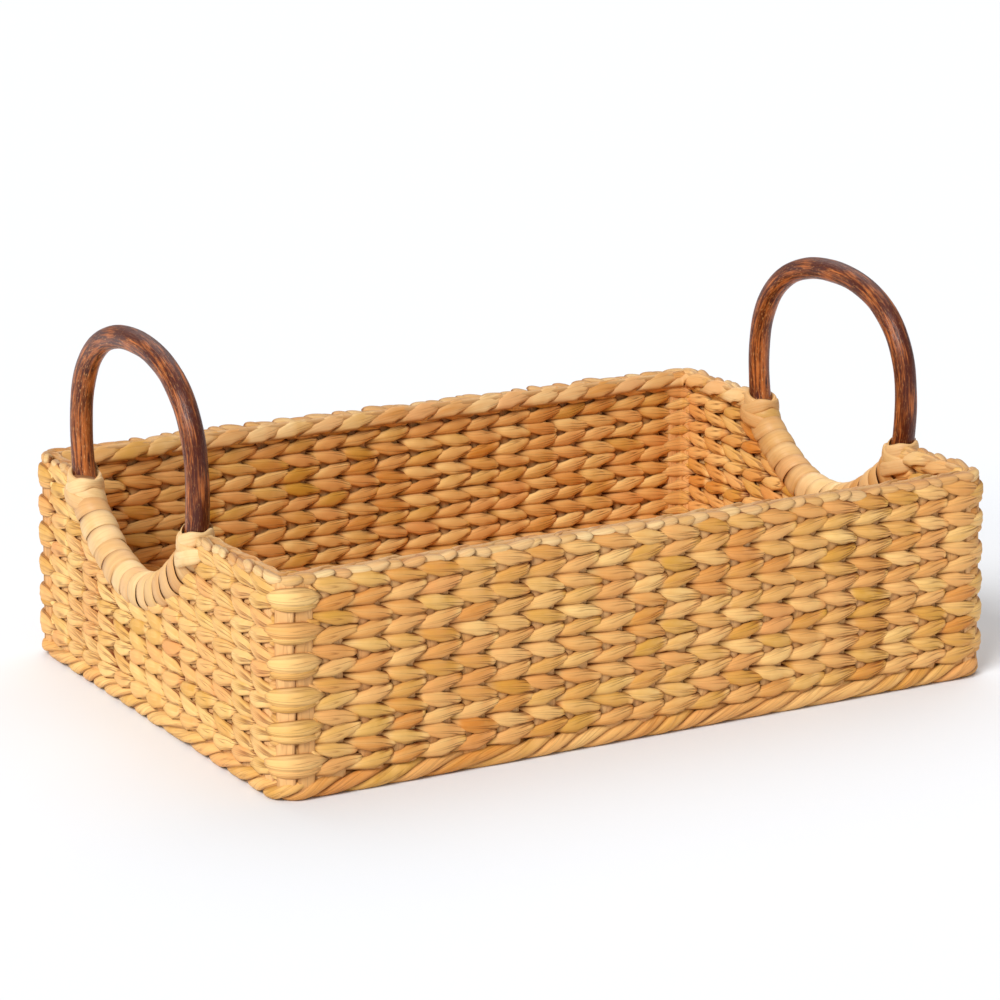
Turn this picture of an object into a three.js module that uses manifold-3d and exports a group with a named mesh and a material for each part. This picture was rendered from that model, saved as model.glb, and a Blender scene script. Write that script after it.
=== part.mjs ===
// Woven tray basket with two bent cane hoop handles.
// Units are millimetres. X runs along the length, Y across the width, +Z is up.
// The origin is under the middle of the basket, on the surface it stands on.
import * as THREE from "three";
import manifoldModule from "manifold-3d";

const wasm = await manifoldModule();
wasm.setup();

// Overall size of the woven body
const LENGTH = 439;            // outside length at the foot of the walls
const WIDTH = 308;             // outside width at the foot of the walls
const WALL = 12;               // thickness of the woven wall
const CORNER_R = 17;           // outside corner radius seen from above
const CORNER_STEPS = 3;        // straight steps round each corner
const RIM_LEAN = 2;            // how far each wall leans in by the rim
const GAP = 0.3;               // clearance between neighbouring pieces

// Heights, from the standing surface up
const MAT = 2.8;               // thickness of the lower base weave
const STAKE_T = 2.4;           // thickness of a stake
const STAKE_W = 7;             // width of a stake
const CROSS_Z = MAT + GAP;                     // underside of the crosswise stakes
const LONG_Z = CROSS_Z + STAKE_T + GAP;        // underside of the lengthwise stakes
const UPPER_Z = LONG_Z + STAKE_T + GAP;        // underside of the upper base weave
const UPPER_T = 2.5;           // thickness of the upper base weave
const BORDER_H = UPPER_Z + UPPER_T;            // height of the bottom border rope
const COURSES = 12;            // twined rows between border and rim
const COURSE_PITCH = 8.45;     // height taken by one row
const COURSE_H = COURSE_PITCH - GAP;
const COURSE_Z = BORDER_H + GAP;               // underside of the lowest row
const COURSE_TOP = COURSE_Z + COURSES * COURSE_PITCH - GAP;
const RIM_Z = COURSE_TOP + GAP;                // underside of the rim
const RIM_H = 3.8;             // height of the rim chain
const RIM_TOP = RIM_Z + RIM_H;

// Stakes
const CROSS_END = 24.1;        // from the outside of a short wall to the nearest crosswise stake
const LONG_END = 25;           // from the outside of a long wall to the nearest lengthwise stake
const CROSS_COUNT = 20;        // stakes running up the two long walls, doubled over in pairs
const CROSS_PITCH = (LENGTH - 2 * CROSS_END) / (CROSS_COUNT - 1);
const LONG_COUNT = 13;         // stakes running up the two short walls
const LONG_PITCH = (WIDTH - 2 * LONG_END) / (LONG_COUNT - 1);
const STAKE_IN = 4.8;          // from the outside of the wall to a stake
const STAKE_TOP = COURSE_TOP - 0.4;

// Cane hoops
const CANE_R = 6.25;           // radius of the bent cane
const HOOP_LEFT_Y = 20;        // middle of the left hoop, measured across the basket
const HOOP_RIGHT_Y = -5;       // middle of the right hoop
const HOOP_IN = 8.2;           // from the outside of a short wall to the plane of its hoop
const HOOP_X = LENGTH / 2 - HOOP_IN;
const CANE_SIDES = 10;

// Ribbon wound round the lower part of each hoop
const RIBBON_T = 1.3;          // ribbon thickness
const RIBBON_W = 9.7;          // ribbon width
const RIBBON_LOOPS = 16;
const RIBBON_STEPS = 16;       // steps in one loop
const RIBBON_IN = CANE_R + 0.4;                // inside radius of the winding
const ROLL_R = RIBBON_IN + RIBBON_T;           // outside radius of the winding
const DIP_OFFSET = ROLL_R + 0.4;               // from the middle of the cane to the woven edge

// Lashing round each handle leg where it leaves the rim
const LASH_IN = 7.2;
const LASH_OUT = 10.6;
const LASH_H = 4.4;

// Hidden wire frame
const WIRE_R = 1.2;            // rails and bottom ring
const POST_R = 1.4;            // corner uprights
const WIRE_IN = 9.3;           // from the outside of the wall to a rail
const POST_IN = 8;
const RING_Z = UPPER_Z + WIRE_R;
const RAIL_Z = RIM_Z + 0.05 + WIRE_R;

const lean = (z) => (RIM_LEAN * z) / RIM_TOP;

// Outline of the body seen from above: a rounded rectangle, moved in by `inset`, at height z.
function outline(inset, z, steps = CORNER_STEPS) {
  const hx = LENGTH / 2 - lean(z) - inset;
  const hy = WIDTH / 2 - lean(z) - inset;
  const r = Math.max(CORNER_R - inset, 1);
  const points = [];
  for (let q = 0; q < 4; q += 1) {
    const sx = q === 0 || q === 3 ? 1 : -1;
    const sy = q < 2 ? 1 : -1;
    for (let i = 0; i <= steps; i += 1) {
      const a = (Math.PI / 2) * (q + i / steps);
      points.push([sx * (hx - r) + r * Math.cos(a), sy * (hy - r) + r * Math.sin(a)]);
    }
  }
  return points;
}

// One point of a corner arc; q is the quarter counted from +X+Y, a its angle in degrees.
function cornerPoint(q, degrees, inset, z) {
  const sx = q === 0 || q === 3 ? 1 : -1;
  const sy = q < 2 ? 1 : -1;
  const r = CORNER_R - inset;
  const a = (Math.PI / 180) * (90 * q + degrees);
  const cx = sx * (LENGTH / 2 - lean(z) - CORNER_R);
  const cy = sy * (WIDTH / 2 - lean(z) - CORNER_R);
  return [cx + r * Math.cos(a), cy + r * Math.sin(a)];
}

function signedVolume(position, index) {
  let sum = 0;
  for (let i = 0; i < index.length; i += 3) {
    const [a, b, c] = [index[i] * 3, index[i + 1] * 3, index[i + 2] * 3];
    sum += position[a] * (position[b + 1] * position[c + 2] - position[b + 2] * position[c + 1])
      - position[a + 1] * (position[b] * position[c + 2] - position[b + 2] * position[c])
      + position[a + 2] * (position[b] * position[c + 1] - position[b + 1] * position[c]);
  }
  return sum / 6;
}

function geometryFrom(position, index) {
  const out = Array.from(index);
  if (signedVolume(position, out) < 0) {
    for (let i = 0; i < out.length; i += 3) [out[i + 1], out[i + 2]] = [out[i + 2], out[i + 1]];
  }
  const geometry = new THREE.BufferGeometry();
  geometry.setAttribute("position", new THREE.Float32BufferAttribute(position, 3));
  geometry.setIndex(out);
  geometry.computeVertexNormals();
  return geometry;
}

// Skin over a row of equal loops of points. A ring joins its last loop to its first;
// an open row is closed by a flat cap at each end.
function loft(loops, ring) {
  const m = loops[0].length;
  const n = loops.length;
  const position = loops.flat().flat();
  const index = [];
  const last = ring ? n : n - 1;
  for (let i = 0; i < last; i += 1) {
    const j = (i + 1) % n;
    for (let k = 0; k < m; k += 1) {
      const l = (k + 1) % m;
      index.push(i * m + k, j * m + k, j * m + l, i * m + k, j * m + l, i * m + l);
    }
  }
  if (!ring) {
    for (const [row, first] of [[0, true], [n - 1, false]]) {
      for (const [a, b, c] of capTriangles(loops[row])) {
        if (first) index.push(row * m + a, row * m + b, row * m + c);
        else index.push(row * m + a, row * m + c, row * m + b);
      }
    }
  }
  return geometryFrom(position, index);
}

// Triangles that fill one flat loop, whatever plane it lies in.
function capTriangles(loop) {
  const p = loop.map((q) => new THREE.Vector3(...q));
  const normal = new THREE.Vector3();
  for (let i = 0; i < p.length; i += 1) {
    normal.add(new THREE.Vector3().crossVectors(p[i], p[(i + 1) % p.length]));
  }
  normal.normalize();
  const u = new THREE.Vector3().subVectors(p[1], p[0]).normalize();
  const v = new THREE.Vector3().crossVectors(normal, u);
  const flat = p.map((q) => new THREE.Vector2(q.dot(u), q.dot(v)));
  return THREE.ShapeUtils.triangulateShape(flat, []);
}

// A ring that follows the outline; section points are [inset, z].
function ringOf(section) {
  const curves = section.map(([inset, z]) => outline(inset, z));
  const loops = curves[0].map((unused, i) => section.map(([, z], k) => [...curves[k][i], z]));
  return loft(loops, true);
}

// A prism standing on a flat polygon of [x, y] points.
function prism(points, z0, z1) {
  return loft([points.map(([x, y]) => [x, y, z0]), points.map(([x, y]) => [x, y, z1])], false);
}

function box(x0, x1, y0, y1, z0, z1) {
  return prism([[x0, y0], [x1, y0], [x1, y1], [x0, y1]], z0, z1);
}

function solidOf(geometry) {
  return new wasm.Manifold(new wasm.Mesh({
    numProp: 3,
    vertProperties: new Float32Array(geometry.getAttribute("position").array),
    triVerts: new Uint32Array(geometry.getIndex().array),
  }));
}

function geometryOf(solid) {
  const mesh = solid.getMesh();
  return geometryFrom(Array.from(mesh.vertProperties), Array.from(mesh.triVerts));
}

// Middle line of a hoop, in its own plane: across the basket and up.
const HALF_HOOP = [
  [0, 70.3], [17.5, 72.6], [34.9, 79.5], [50.4, 89.6], [63.3, 100.7], [70.4, 112.5], [72.9, 126.8],
  [73.2, 143.4], [70, 161.9], [60.9, 178.5], [45.4, 191.4], [23.8, 199.3], [0, 201.6],
];
const hoopCurve = new THREE.CatmullRomCurve3(
  [
    ...HALF_HOOP.map(([y, z]) => new THREE.Vector3(0, y, z)),
    ...HALF_HOOP.slice(1, -1).reverse().map(([y, z]) => new THREE.Vector3(0, -y, z)),
  ],
  true,
  "centripetal",
);
hoopCurve.arcLengthDivisions = 2000;
const HOOP_LENGTH = hoopCurve.getLength();

// Point and directions on a hoop's middle line, `s` millimetres from its lowest point.
function hoopAt(s) {
  const t = (((s / HOOP_LENGTH) % 1) + 1) % 1;
  const point = hoopCurve.getPointAt(t);
  const along = hoopCurve.getTangentAt(t);
  return { point, along, out: new THREE.Vector3(0, along.z, -along.y) };
}

// Distance along the hoop at which it climbs past height z on its +Y side.
function hoopReach(z) {
  let lo = 0;
  let hi = HOOP_LENGTH * 0.3;
  for (let i = 0; i < 50; i += 1) {
    const mid = (lo + hi) / 2;
    if (hoopAt(mid).point.z < z) lo = mid;
    else hi = mid;
  }
  return lo;
}

// Steps along the hoop, closer together where it bends more.
function hoopSteps() {
  const fine = 600;
  const stops = [0];
  let from = 0;
  for (let i = 1; i < fine; i += 1) {
    const s = (HOOP_LENGTH * i) / fine;
    const a = hoopAt(from).along;
    const turn = a.angleTo(hoopAt(s).along);
    if (turn > 0.135 || s - from > 11) {
      stops.push(s);
      from = s;
    }
  }
  return stops;
}

function hoopGeometry(x, y) {
  const loops = hoopSteps().map((s) => {
    const { point, out } = hoopAt(s);
    const loop = [];
    for (let k = 0; k < CANE_SIDES; k += 1) {
      const a = (2 * Math.PI * (k + 0.5)) / CANE_SIDES;
      const across = CANE_R * Math.cos(a);
      loop.push([x + CANE_R * Math.sin(a), y + point.y + out.y * across, point.z + out.z * across]);
    }
    return loop;
  });
  return loft(loops, true);
}

// One ribbon wound in close turns round the lower part of the hoop.
const ROLL_END = hoopReach(RIM_TOP - 0.8) - RIBBON_W / 2;
function windingGeometry(x, y, hand) {
  const section = [
    [-RIBBON_W / 2, 0], [-RIBBON_W / 2 + 0.7, RIBBON_T / 2], [RIBBON_W / 2 - 0.7, RIBBON_T / 2],
    [RIBBON_W / 2, 0], [RIBBON_W / 2 - 0.7, -RIBBON_T / 2], [-RIBBON_W / 2 + 0.7, -RIBBON_T / 2],
  ];
  const middle = RIBBON_IN + RIBBON_T / 2;
  const count = RIBBON_LOOPS * RIBBON_STEPS;
  const loops = [];
  for (let i = 0; i <= count; i += 1) {
    const s = -ROLL_END + (2 * ROLL_END * i) / count;
    const a = hand * ((2 * Math.PI * i) / RIBBON_STEPS + 0.4);
    loops.push(section.map(([width, rise]) => {
      const { point, out } = hoopAt(s + width);
      const reach = (middle + rise) * Math.cos(a);
      return [x + (middle + rise) * Math.sin(a), y + point.y + out.y * reach, point.z + out.z * reach];
    }));
  }
  const pitch = (2 * ROLL_END) / RIBBON_LOOPS;
  console.log(`winding: pitch ${pitch.toFixed(2)} mm, least gap to itself ${leastGap(loops).toFixed(2)} mm`);
  const first = straightOn(loops[1], loops[0]);
  const final = straightOn(loops[count - 1], loops[count]);
  return loft([first, ...loops, final], false);
}

// Smallest distance between points of a ribbon that lie half a turn or more apart along it.
function leastGap(loops) {
  let least = Infinity;
  for (let i = 0; i < loops.length; i += 1) {
    const reach = Math.min(loops.length, i + 2 * RIBBON_STEPS);
    for (let j = i + RIBBON_STEPS / 2; j < reach; j += 1) {
      for (const p of loops[i]) {
        for (const q of loops[j]) {
          least = Math.min(least, Math.hypot(p[0] - q[0], p[1] - q[1], p[2] - q[2]));
        }
      }
    }
  }
  return least;
}

// The end of a ribbon carried straight on by about one ribbon thickness.
function straightOn(before, end) {
  const step = end[0].map((value, k) => value - before[0][k]);
  const length = Math.hypot(...step);
  return end.map((p) => p.map((value, k) => value + (step[k] * RIBBON_T) / length));
}

// Edge of the weave under a hoop: the hoop's middle line moved out by DIP_OFFSET.
const dipEdge = [];
for (let s = -hoopReach(RIM_TOP + 8); s <= hoopReach(RIM_TOP + 8) + 0.01; s += hoopReach(RIM_TOP + 8) / 12) {
  const { point, out } = hoopAt(s);
  dipEdge.push([point.y + out.y * DIP_OFFSET, point.z + out.z * DIP_OFFSET]);
}

function dipCutter(side, y) {
  const x0 = side * (LENGTH / 2 - 40);
  const x1 = side * (LENGTH / 2 + 10);
  const top = RIM_TOP + 30;
  const loop = [...dipEdge, [dipEdge[dipEdge.length - 1][0], top], [dipEdge[0][0], top]];
  return loft([loop.map(([py, pz]) => [x0, y + py, pz]), loop.map(([py, pz]) => [x1, y + py, pz])], false);
}

// Height of the woven edge at a distance from the middle of a hoop.
function dipFloor(distance) {
  for (let i = Math.floor(dipEdge.length / 2); i < dipEdge.length - 1; i += 1) {
    const [y0, z0] = dipEdge[i];
    const [y1, z1] = dipEdge[i + 1];
    if (distance <= y1) return z0 + ((z1 - z0) * Math.max(0, distance - y0)) / (y1 - y0);
  }
  return Infinity;
}

// Stakes: flat strips bent into a U, up one wall, under the base and up the other.
function stakeProfile(half, z0, topA, topB) {
  const at = (inset, z) => half - lean(z) - inset;
  const inner = STAKE_IN + STAKE_T;
  const b = 1.8;
  return [
    [-at(STAKE_IN, topA), topA], [-at(STAKE_IN, z0), z0 + b], [-at(STAKE_IN, z0) + b, z0],
    [at(STAKE_IN, z0) - b, z0], [at(STAKE_IN, z0), z0 + b], [at(STAKE_IN, topB), topB],
    [at(inner, topB), topB], [at(inner, z0), z0 + STAKE_T], [-at(inner, z0), z0 + STAKE_T],
    [-at(inner, topA), topA],
  ];
}

function crossStake(x) {
  const loop = stakeProfile(WIDTH / 2, CROSS_Z, STAKE_TOP, STAKE_TOP);
  return loft([
    loop.map(([y, z]) => [x - STAKE_W / 2, y, z]),
    loop.map(([y, z]) => [x + STAKE_W / 2, y, z]),
  ], false);
}

// Two neighbouring crosswise stakes are one stalk, turned over below the front rim.
function crossPair(x) {
  const z0 = STAKE_TOP - 4;
  const at = (inset, z) => -(WIDTH / 2 - lean(z) - inset);
  const loop = [
    [at(STAKE_IN + 0.2, z0), z0], [at(STAKE_IN + STAKE_T - 0.2, z0), z0],
    [at(STAKE_IN + STAKE_T - 0.2, STAKE_TOP - 0.5), STAKE_TOP - 0.5],
    [at(STAKE_IN + 0.2, STAKE_TOP - 0.5), STAKE_TOP - 0.5],
  ];
  const turn = loft([
    loop.map(([y, z]) => [x + 1, y, z]),
    loop.map(([y, z]) => [x + CROSS_PITCH - 1, y, z]),
  ], false);
  const both = solidOf(crossStake(x)).add(solidOf(crossStake(x + CROSS_PITCH)));
  return geometryOf(both.add(solidOf(turn)));
}

function longStake(y) {
  const topAt = (middle) => {
    const near = Math.max(0, Math.abs(y - middle) - STAKE_W / 2);
    return Math.min(STAKE_TOP, dipFloor(near) - GAP);
  };
  const loop = stakeProfile(LENGTH / 2, LONG_Z, topAt(HOOP_LEFT_Y), topAt(HOOP_RIGHT_Y));
  return loft([
    loop.map(([x, z]) => [x, y - STAKE_W / 2, z]),
    loop.map(([x, z]) => [x, y + STAKE_W / 2, z]),
  ], false);
}

// Slots in a woven row, through which the stakes and the corner bundles pass.
function slotCutters(z0, z1) {
  const z = (z0 + z1) / 2;
  const half = STAKE_T / 2 + 0.5;
  const mid = STAKE_IN + STAKE_T / 2;
  const px = LENGTH / 2 - lean(z) - mid;
  const py = WIDTH / 2 - lean(z) - mid;
  const ex = ((CROSS_COUNT - 1) / 2) * CROSS_PITCH + STAKE_W / 2 + 0.6;
  const ey = ((LONG_COUNT - 1) / 2) * LONG_PITCH + STAKE_W / 2 + 0.6;
  const cutters = [
    box(-ex, ex, -py - half, -py + half, z0 - 1, z1 + 1),
    box(-ex, ex, py - half, py + half, z0 - 1, z1 + 1),
    box(-px - half, -px + half, -ey, ey, z0 - 1, z1 + 1),
    box(px - half, px + half, -ey, ey, z0 - 1, z1 + 1),
  ];
  for (let q = 0; q < 4; q += 1) {
    const outer = [12, 34, 56, 78].map((a) => cornerPoint(q, a, 4.15, z));
    const inner = [78, 45, 12].map((a) => cornerPoint(q, a, 9.95, z));
    cutters.push(prism([...outer, ...inner], z0 - 1, z1 + 1));
  }
  return cutters;
}

function cut(solid, cutters) {
  let result = solid;
  for (const cutter of cutters) result = result.subtract(solidOf(cutter));
  return result;
}

function courseSolid(k) {
  const z0 = COURSE_Z + k * COURSE_PITCH;
  const z1 = z0 + COURSE_H;
  const c = 1.2;
  const ring = ringOf([
    [c, z0], [0, z0 + 2.4], [0, z1 - 2.4], [c, z1],
    [WALL - c, z1], [WALL, z1 - 2.4], [WALL, z0 + 2.4], [WALL - c, z0],
  ]);
  return cut(solidOf(ring), slotCutters(z0, z1));
}

// Strip bundle that stands in each corner of the wall.
function cornerStake(q) {
  const loopAt = (z) => [
    ...[18, 36, 54, 72].map((a) => [...cornerPoint(q, a, 4.7, z), z]),
    ...[72, 54, 36, 18].map((a) => [...cornerPoint(q, a, 6.1, z), z]),
  ];
  return loft([loopAt(CROSS_Z), loopAt(STAKE_TOP)], false);
}

// Round bar through a list of points lying in one level, open or closed.
function levelBar(points, z, radius, sides, closed) {
  const n = points.length;
  const loops = points.map(([x, y], i) => {
    const a = closed || i > 0 ? points[(i - 1 + n) % n] : points[0];
    const b = closed || i < n - 1 ? points[(i + 1) % n] : points[n - 1];
    const p = new THREE.Vector2(x - a[0], y - a[1]).normalize();
    const q = new THREE.Vector2(b[0] - x, b[1] - y).normalize();
    if (p.lengthSq() === 0) p.copy(q);
    if (q.lengthSq() === 0) q.copy(p);
    const d = p.clone().add(q).normalize();
    const miter = 1 / Math.max(0.5, d.dot(q));
    const loop = [];
    for (let k = 0; k < sides; k += 1) {
      const t = (2 * Math.PI * (k + 0.5)) / sides;
      const off = radius * Math.cos(t) * miter;
      loop.push([x + d.y * off, y - d.x * off, z + radius * Math.sin(t)]);
    }
    return loop;
  });
  return loft(loops, closed);
}

function wireFrame() {
  let solid = solidOf(levelBar(outline(WIRE_IN, RING_Z), RING_Z, WIRE_R, 8, true));
  for (let q = 0; q < 4; q += 1) {
    const loops = [RING_Z - 0.6, RAIL_Z + 0.6].map((z) => {
      const [x, y] = cornerPoint(q, 45, POST_IN, z);
      const loop = [];
      for (let k = 0; k < 8; k += 1) {
        const a = (2 * Math.PI * (k + 0.5)) / 8;
        loop.push([x + POST_R * Math.cos(a), y + POST_R * Math.sin(a), z]);
      }
      return loop;
    });
    solid = solid.add(solidOf(loft(loops, false)));
  }
  const plan = outline(WIRE_IN, RAIL_Z);
  const half = CORNER_STEPS + 1;
  const reach = dipEdge[dipEdge.length - 1][0] + 1.5;
  const [leftX, rightX] = [plan[2 * half - 1][0], plan[0][0]];
  const back = [
    [rightX, HOOP_RIGHT_Y + reach], ...plan.slice(0, 2 * half), [leftX, HOOP_LEFT_Y + reach],
  ];
  const front = [
    [leftX, HOOP_LEFT_Y - reach], ...plan.slice(2 * half), [rightX, HOOP_RIGHT_Y - reach],
  ];
  for (const path of [back, front]) solid = solid.add(solidOf(levelBar(path, RAIL_Z, WIRE_R, 8, false)));
  return geometryOf(solid);
}

function borderRing() {
  return ringOf([
    [2.2, 0], [0.4, 2.2], [0, 5.5], [0.6, BORDER_H], [4.3, BORDER_H], [4.3, MAT], [WALL, MAT], [WALL, 0],
  ]);
}

function rimSolid() {
  const [c0, c1, roof] = [POST_IN - POST_R - GAP, WIRE_IN + WIRE_R + GAP, RAIL_Z + WIRE_R + GAP];
  return solidOf(ringOf([
    [0.6, RIM_Z], [0.6, RIM_Z + 2.4], [2, RIM_TOP], [WALL - 1.4, RIM_TOP], [WALL - 0.2, RIM_Z + 2.4],
    [WALL - 0.2, RIM_Z], [c1, RIM_Z], [c1, roof], [c0, roof], [c0, RIM_Z],
  ]));
}

function lashing(x, y) {
  const loops = [];
  for (let k = 0; k < 12; k += 1) {
    const a = (2 * Math.PI * k) / 12;
    const at = (r, z) => [x + r * Math.cos(a), y + r * Math.sin(a), z];
    const z0 = RIM_TOP + GAP;
    const z1 = z0 + LASH_H;
    loops.push([
      at(LASH_IN, z0 + 1.2), at(LASH_IN + 1.1, z0), at(LASH_OUT - 1.1, z0), at(LASH_OUT, z0 + 1.4),
      at(LASH_OUT, z1 - 1.6), at(LASH_OUT - 1.3, z1), at(LASH_IN + 1.2, z1), at(LASH_IN, z1 - 1.4),
    ]);
  }
  return loft(loops, true);
}

// Colours and finishes
const straw = { color: 0xd8b27a, roughness: 0.75 };
const paleStraw = { color: 0xe3c48f, roughness: 0.75 };
const stakeTone = { color: 0xc99e78, roughness: 0.8 };
const ribbonTone = { color: 0xdfbd88, roughness: 0.65 };
const caneTone = { color: 0x5e2c1a, roughness: 0.4 };
const wireTone = { color: 0x4a4a48, roughness: 0.5, metalness: 0.9 };

const group = new THREE.Group();
group.name = "tray_basket";

function add(name, geometry, tone) {
  const material = new THREE.MeshStandardMaterial({ metalness: 0, flatShading: true, ...tone });
  const mesh = new THREE.Mesh(geometry, material);
  mesh.name = name;
  group.add(mesh);
  return mesh;
}

// Splits a ring that both dips cut through into its front and back parts.
function addFrontAndBack(name, solid, tone) {
  const parts = solid.decompose();
  for (const part of parts) {
    const { min, max } = part.boundingBox();
    add(`${name}_${min[1] + max[1] < 0 ? "front" : "back"}`, geometryOf(part), tone);
  }
}

const dips = [dipCutter(-1, HOOP_LEFT_Y), dipCutter(1, HOOP_RIGHT_Y)];

add("base_weave_under", prism(outline(WALL + GAP, 0), 0, MAT), straw);
add("base_weave_over", prism(outline(WIRE_IN + WIRE_R + GAP, UPPER_Z), UPPER_Z, UPPER_Z + UPPER_T), straw);
for (let i = 0; i < CROSS_COUNT; i += 2) {
  const x = (i - (CROSS_COUNT - 1) / 2) * CROSS_PITCH;
  add(`stake_pair_${String(i / 2 + 1).padStart(2, "0")}`, crossPair(x), stakeTone);
}
for (let j = 0; j < LONG_COUNT; j += 1) {
  const y = (j - (LONG_COUNT - 1) / 2) * LONG_PITCH;
  add(`stake_long_${String(j + 1).padStart(2, "0")}`, longStake(y), stakeTone);
}
["back_right", "back_left", "front_left", "front_right"].forEach((place, q) => {
  add(`corner_stake_${place}`, cornerStake(q), stakeTone);
});
add("wire_frame", wireFrame(), wireTone);
add("border_rope", borderRing(), straw);
for (let k = 0; k < COURSES; k += 1) {
  const name = `course_${String(k + 1).padStart(2, "0")}`;
  const solid = courseSolid(k);
  const top = COURSE_Z + k * COURSE_PITCH + COURSE_H;
  if (top <= dipFloor(0)) add(name, geometryOf(solid), straw);
  else addFrontAndBack(name, cut(solid, dips), straw);
}
addFrontAndBack("rim_chain", cut(rimSolid(), dips), paleStraw);
for (const [place, side, y] of [["left", -1, HOOP_LEFT_Y], ["right", 1, HOOP_RIGHT_Y]]) {
  const x = side * HOOP_X;
  add(`hoop_${place}`, hoopGeometry(x, y), caneTone);
  add(`winding_${place}`, windingGeometry(x, y, side), ribbonTone);
  const leg = hoopAt(hoopReach(RIM_TOP + GAP + LASH_H / 2)).point.y;
  add(`lashing_${place}_front`, lashing(x, y - leg), paleStraw);
  add(`lashing_${place}_back`, lashing(x, y + leg), paleStraw);
}

export default group;
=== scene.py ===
# %% [markdown]
# # A woven tray basket with two cane handles
#
# The basket is twined: flat upright stalks, the stakes, stand all round the wall, and pairs of
# weavers run round it, one passing in front of a stake while the other passes behind it, then
# changing places. Each course leans the other way than the one below, so two courses make a
# chevron. This script builds every weaver as real geometry, because at this distance the eye
# reads the single leaf-shaped bulges, the dark creases between them and the little windows in
# which a stake shows.
#
# Everything below is worked out in millimetres and turned into metres when a mesh is written.

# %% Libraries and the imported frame
import math

import bpy
import numpy as np
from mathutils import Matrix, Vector


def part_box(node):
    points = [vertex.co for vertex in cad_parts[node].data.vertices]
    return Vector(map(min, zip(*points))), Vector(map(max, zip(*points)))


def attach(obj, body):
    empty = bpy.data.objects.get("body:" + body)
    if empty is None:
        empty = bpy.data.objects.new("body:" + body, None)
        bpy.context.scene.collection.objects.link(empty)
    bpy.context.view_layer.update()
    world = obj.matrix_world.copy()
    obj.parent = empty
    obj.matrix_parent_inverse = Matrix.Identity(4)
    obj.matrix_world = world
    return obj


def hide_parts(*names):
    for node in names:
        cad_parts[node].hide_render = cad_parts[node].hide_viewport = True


MM = 0.001


def add_object(name, data):
    """A new object of some data, linked to the scene."""
    made = bpy.data.objects.new(name, data)
    bpy.context.scene.collection.objects.link(made)
    return made


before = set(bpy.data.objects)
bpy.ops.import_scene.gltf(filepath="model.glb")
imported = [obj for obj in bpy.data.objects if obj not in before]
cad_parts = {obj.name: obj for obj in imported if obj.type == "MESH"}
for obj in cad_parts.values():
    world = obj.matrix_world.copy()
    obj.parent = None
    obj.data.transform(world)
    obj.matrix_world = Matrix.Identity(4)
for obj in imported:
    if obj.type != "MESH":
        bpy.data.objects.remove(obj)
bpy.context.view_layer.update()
print("frame nodes:", len(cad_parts))

# %% [markdown]
# ## Camera
#
# The camera was fitted to the corners and hoops in the photograph. It stands to the left of the
# front, a little above the rim, far away behind a long lens, so the long walls hardly converge.

# %% Camera
TARGET = (-0.0030, 0.0020, 0.0932)
AZIMUTH = math.radians(-29.8)
ELEVATION = math.radians(14.65)
DISTANCE = 2.0
LENS = 130.9
SENSOR = 36.0

back = Vector(
    (
        math.sin(AZIMUTH) * math.cos(ELEVATION),
        -math.cos(AZIMUTH) * math.cos(ELEVATION),
        math.sin(ELEVATION),
    )
)
camera = add_object("camera", bpy.data.cameras.new("camera"))
camera.location = Vector(TARGET) + back * DISTANCE
camera.rotation_mode = "QUATERNION"
camera.rotation_quaternion = (-back).to_track_quat("-Z", "Y")
camera.data.lens = LENS
camera.data.sensor_width = SENSOR
camera.data.dof.use_dof = False
bpy.context.scene.camera = camera
print("camera at", [round(v, 3) for v in camera.location])

# %% [markdown]
# ## Sizes
#
# The frame gives the outside of the walls and the height of each course. The weavers fill the
# wall from face to face: their outer bulges reach the outside of the CAD wall and their inner
# bulges the inside.

# %% Sizes
border_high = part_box("border_rope")[1]
rim_low, rim_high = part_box("rim_chain_front")
HALF_LENGTH = border_high.x / MM
HALF_WIDTH = border_high.y / MM
WALL = 12.0
CORNER_R = 17.0
RIM_LEAN = 2.0
RIM_TOP = rim_high.z / MM
RIM_MIDDLE = RIM_TOP - 3
COURSES = 12
CLEARANCE = 0.3
COURSE_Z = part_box("course_01")[0].z / MM - CLEARANCE
COURSE_TOP = rim_low.z / MM
COURSE_PITCH = (COURSE_TOP - COURSE_Z) / COURSES
HALF_COURSE = COURSE_PITCH / 2
LONG_STAKES = 20
SHORT_STAKES = 13
MID_R = CORNER_R - WALL / 2
print(f"half the wall {HALF_LENGTH:.1f} x {HALF_WIDTH:.1f}")
print(f"courses of {COURSE_PITCH:.2f} from {COURSE_Z:.1f}")

# %% [markdown]
# ## The middle line of the wall
#
# A rounded rectangle is a centre that moves along straight lines while the direction of the
# normal stands still, and then stands still itself while the normal turns. Both are plain
# straight-line interpolations over the distance along the wall, and a point is the centre plus
# the normal times the corner radius. A depth out of the wall, or its lean, only changes that
# radius.

# %% Wall line
CENTRE_X = HALF_LENGTH - WALL / 2 - MID_R
CENTRE_Y = HALF_WIDTH - WALL / 2 - MID_R
EIGHTH = MID_R * math.pi / 4
KNOT_STEPS = [0, EIGHTH, 2 * CENTRE_X, 2 * EIGHTH, 2 * CENTRE_Y]
KNOT_STEPS += [2 * EIGHTH, 2 * CENTRE_X, 2 * EIGHTH, 2 * CENTRE_Y, EIGHTH]
KNOT_ARCS = np.cumsum(KNOT_STEPS)
KNOT_ANGLES = np.radians([225, 270, 270, 360, 360, 450, 450, 540, 540, 585])
KNOT_X = CENTRE_X * np.array([-1, -1, 1, 1, 1, 1, -1, -1, -1, -1])
KNOT_Y = CENTRE_Y * np.array([-1, -1, -1, -1, 1, 1, 1, 1, -1, -1])
ROUND = KNOT_ARCS[-1]


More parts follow.
